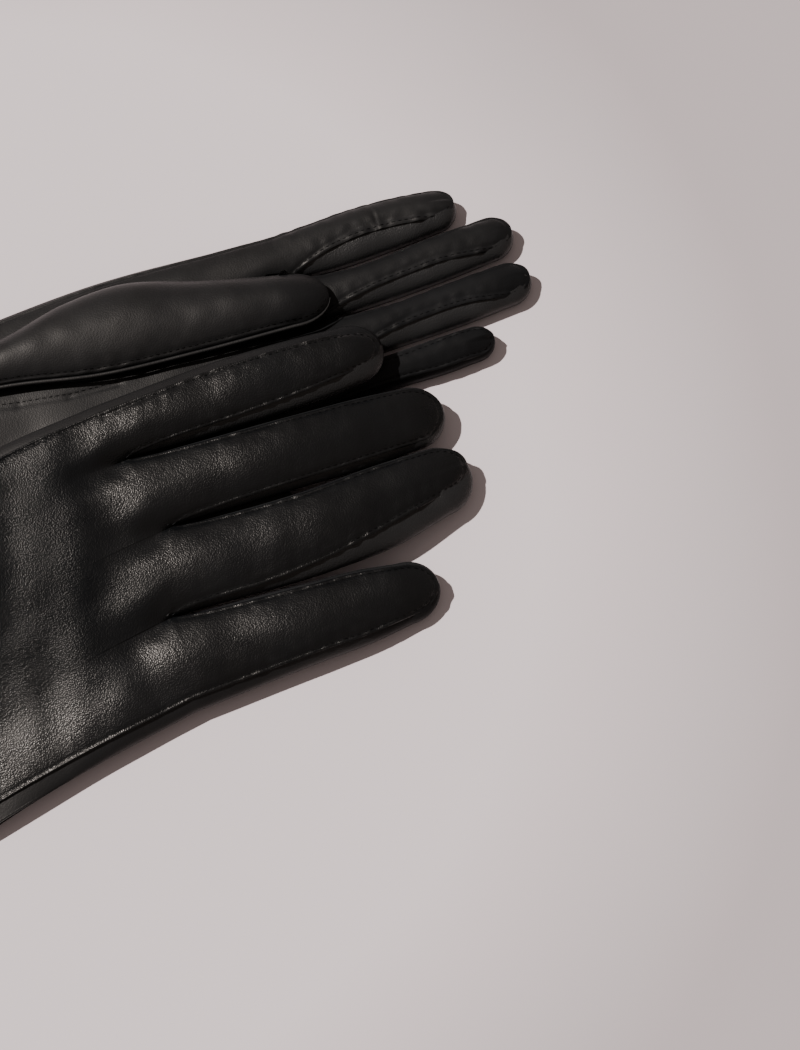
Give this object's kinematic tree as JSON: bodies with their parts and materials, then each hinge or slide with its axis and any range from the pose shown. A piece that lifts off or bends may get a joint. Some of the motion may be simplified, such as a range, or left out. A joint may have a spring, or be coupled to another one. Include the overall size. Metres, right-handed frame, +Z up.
{
  "type": "leather gloves",
  "caption": "Pair of black lined leather dress gloves, left glove palm up with its thumb folded over, right glove back up and lapped across it.",
  "frame": {"origin": "middle of the pair's footprint, on the surface that the gloves lie on", "axes": "+X along the fingers towards the fingertips, +Y from the right glove towards the left glove, +Z up"},
  "size_m": [0.2946, 0.1716, 0.0254],
  "materials": {
    "leather": "satin black nappa, fine grain",
    "touch_leather": "satin black conductive leather",
    "thread": "black polyester sewing thread",
    "lining": "matt black fine knit"
  },
  "bodies": {
    "left_hand": {"left_hand_back": "leather", "left_hand_palm": "leather", "left_ring_little_fourchette": "leather", "left_middle_ring_fourchette": "leather", "left_index_middle_fourchette": "leather", "left_hand_lining": "lining", "left_cuff_hem": "leather", "left_thumb_base": "leather"},
    "left_index": {"left_index_back": "leather", "left_index_palm": "leather", "left_index_tip_panel": "touch_leather", "left_index_fourchette": "leather", "left_index_lining": "lining"},
    "left_middle": {"left_middle_back": "leather", "left_middle_palm": "leather", "left_middle_fourchettes": "leather", "left_middle_lining": "lining"},
    "left_ring": {"left_ring_back": "leather", "left_ring_palm": "leather", "left_ring_fourchettes": "leather", "left_ring_lining": "lining"},
    "left_little": {"left_little_back": "leather", "left_little_palm": "leather", "left_little_fourchette": "leather", "left_little_lining": "lining"},
    "left_thumb": {"left_thumb": "leather", "left_thumb_lining": "lining"},
    "right_hand": {"right_hand_back": "leather", "right_hand_palm": "leather", "right_ring_little_fourchette": "leather", "right_middle_ring_fourchette": "leather", "right_index_middle_fourchette": "leather", "right_hand_lining": "lining", "right_cuff_hem": "leather", "right_thumb_base": "leather"},
    "right_index": {"right_index_back": "leather", "right_index_palm": "leather", "right_index_tip_panel": "touch_leather", "right_index_fourchette": "leather", "right_index_lining": "lining"},
    "right_middle": {"right_middle_back": "leather", "right_middle_palm": "leather", "right_middle_fourchettes": "leather", "right_middle_lining": "lining"},
    "right_ring": {"right_ring_back": "leather", "right_ring_palm": "leather", "right_ring_fourchettes": "leather", "right_ring_lining": "lining"},
    "right_little": {"right_little_back": "leather", "right_little_palm": "leather", "right_little_fourchette": "leather", "right_little_lining": "lining"},
    "right_thumb": {"right_thumb": "leather", "right_thumb_lining": "lining"}
  },
  "joints": [
    {"name": "right_glove_lift", "type": "slide", "parent": "left_hand", "child": "right_hand", "axis": [0, 0, 1], "range_m": [0, 0.12]},
    {"name": "left_index_bend", "type": "hinge", "parent": "left_hand", "child": "left_index", "pos_m": [0.0867, 0.07296, 0.009], "axis": [-0.0105, -0.9999, 0], "range_deg": [0, 85]},
    {"name": "left_middle_bend", "type": "hinge", "parent": "left_hand", "child": "left_middle", "pos_m": [0.0927, 0.05486, 0.009], "axis": [0, -1, 0], "range_deg": [0, 85]},
    {"name": "left_ring_bend", "type": "hinge", "parent": "left_hand", "child": "left_ring", "pos_m": [0.0987, 0.03866, 0.009], "axis": [-0.007, -1, 0], "range_deg": [0, 85]},
    {"name": "left_little_bend", "type": "hinge", "parent": "left_hand", "child": "left_little", "pos_m": [0.0957, 0.02406, 0.009], "axis": [-0.0523, -0.9986, 0], "range_deg": [0, 85]},
    {"name": "left_thumb_fold", "type": "hinge", "parent": "left_hand", "child": "left_thumb", "pos_m": [0.0167, 0.06566, 0.0175], "axis": [-0.1805, -0.9836, 0], "range_deg": [0, 60]},
    {"name": "right_index_bend", "type": "hinge", "parent": "right_hand", "child": "right_index", "pos_m": [0.0437, 0.02898, 0.02401], "axis": [-0.0175, -0.9924, -0.1219], "range_deg": [0, 50]},
    {"name": "right_middle_bend", "type": "hinge", "parent": "right_hand", "child": "right_middle", "pos_m": [0.0567, 0.00476, 0.02104], "axis": [-0.0349, -0.9919, -0.1218], "range_deg": [0, 60]},
    {"name": "right_ring_bend", "type": "hinge", "parent": "right_hand", "child": "right_ring", "pos_m": [0.0537, -0.02075, 0.01791], "axis": [0.0262, -0.9922, -0.1218], "range_deg": [0, 60]},
    {"name": "right_little_bend", "type": "hinge", "parent": "right_hand", "child": "right_little", "pos_m": [0.0437, -0.04745, 0.01463], "axis": [-0.0558, -0.991, -0.1217], "range_deg": [0, 60]},
    {"name": "right_thumb_fold", "type": "hinge", "parent": "right_hand", "child": "right_thumb", "pos_m": [0.0087, -0.00741, 0.00363], "axis": [0, 0.9925, 0.1219], "range_deg": [0, 50]}
  ],
  "couplings": [
    {"joint": "right_thumb_fold", "follows": "right_glove_lift", "rad_per_m": 7.2702}
  ]
}
